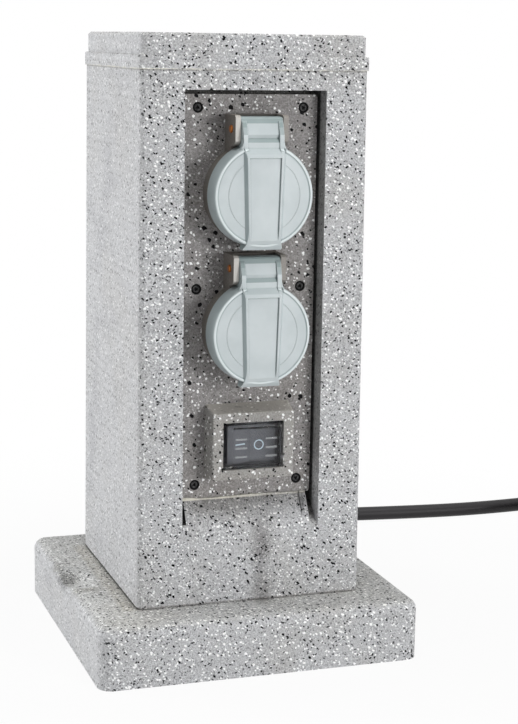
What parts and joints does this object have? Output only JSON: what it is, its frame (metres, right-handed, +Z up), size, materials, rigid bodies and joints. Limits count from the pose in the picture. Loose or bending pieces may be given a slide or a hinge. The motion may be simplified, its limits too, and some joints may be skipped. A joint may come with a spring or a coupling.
{
  "type": "garden socket post",
  "caption": "Square stone-look garden socket post with a base plate, hinged round lids over recessed mains sockets, a covered switch and a black mains cord with a plug",
  "frame": {"origin": "on the floor, under the middle of the base plate", "axes": "+Z up the post, -Y out of the front with the sockets, +X to the right seen from the front"},
  "size_m": [0.4274, 0.2456, 0.3],
  "materials": {
    "stone": "matt, speckled like granite",
    "panel": "matt, finely speckled",
    "lid": "matt",
    "insert": "matt",
    "black_plastic": "matt",
    "dark_plastic": "satin",
    "clear": "clear and soft",
    "rubber": "matt",
    "black_screw": "black",
    "steel": "satin",
    "copper": "satin",
    "brass": "satin",
    "core_brown": "satin",
    "core_blue": "satin",
    "core_green": "satin"
  },
  "bodies": {
    "post": {"base_plate": "stone", "base_screws": "steel", "column_shell": "stone", "top_cap": "stone", "socket_panel": "panel", "panel_gasket": "rubber", "panel_screws": "black_screw", "upper_socket": "insert", "lower_socket": "insert", "upper_contacts": "brass", "lower_contacts": "brass", "upper_earth_clip": "steel", "lower_earth_clip": "steel", "upper_socket_screws": "steel", "lower_socket_screws": "steel", "upper_hinge_pin": "copper", "lower_hinge_pin": "copper", "upper_lid_spring": "steel", "lower_lid_spring": "steel", "switch_frame": "panel", "frame_screws": "steel", "switch_cover": "clear", "switch_body": "black_plastic", "switch_terminals": "brass", "cable_gland": "black_plastic", "gland_nut": "black_plastic", "strain_relief": "rubber", "inner_cable": "rubber", "wire_live": "core_brown", "wire_neutral": "core_blue", "wire_earth": "core_green", "power_cord": "rubber", "cord_coil": "rubber", "cord_tail": "rubber", "cord_tie": "black_plastic", "plug_body": "rubber", "plug_pins": "steel", "plug_earth_strips": "brass"},
    "upper_lid": {"upper_lid": "lid", "upper_lid_seal": "rubber"},
    "lower_lid": {"lower_lid": "lid", "lower_lid_seal": "rubber"},
    "rocker": {"switch_rocker": "dark_plastic"}
  },
  "joints": [
    {"name": "upper_lid_hinge", "type": "hinge", "parent": "post", "child": "upper_lid", "pos_m": [0, -0.0579, 0.257], "axis": [-1, 0, 0], "range_deg": [0, 90], "stiffness_Nm_per_rad": 0.02, "springref_deg": -28.65},
    {"name": "lower_lid_hinge", "type": "hinge", "parent": "post", "child": "lower_lid", "pos_m": [0, -0.0579, 0.1926], "axis": [-1, 0, 0], "range_deg": [0, 90], "stiffness_Nm_per_rad": 0.02, "springref_deg": -28.65},
    {"name": "rocker_pivot", "type": "hinge", "parent": "post", "child": "rocker", "pos_m": [0, -0.0477, 0.1073], "axis": [0, 0, -1], "range_deg": [0, 18]}
  ]
}
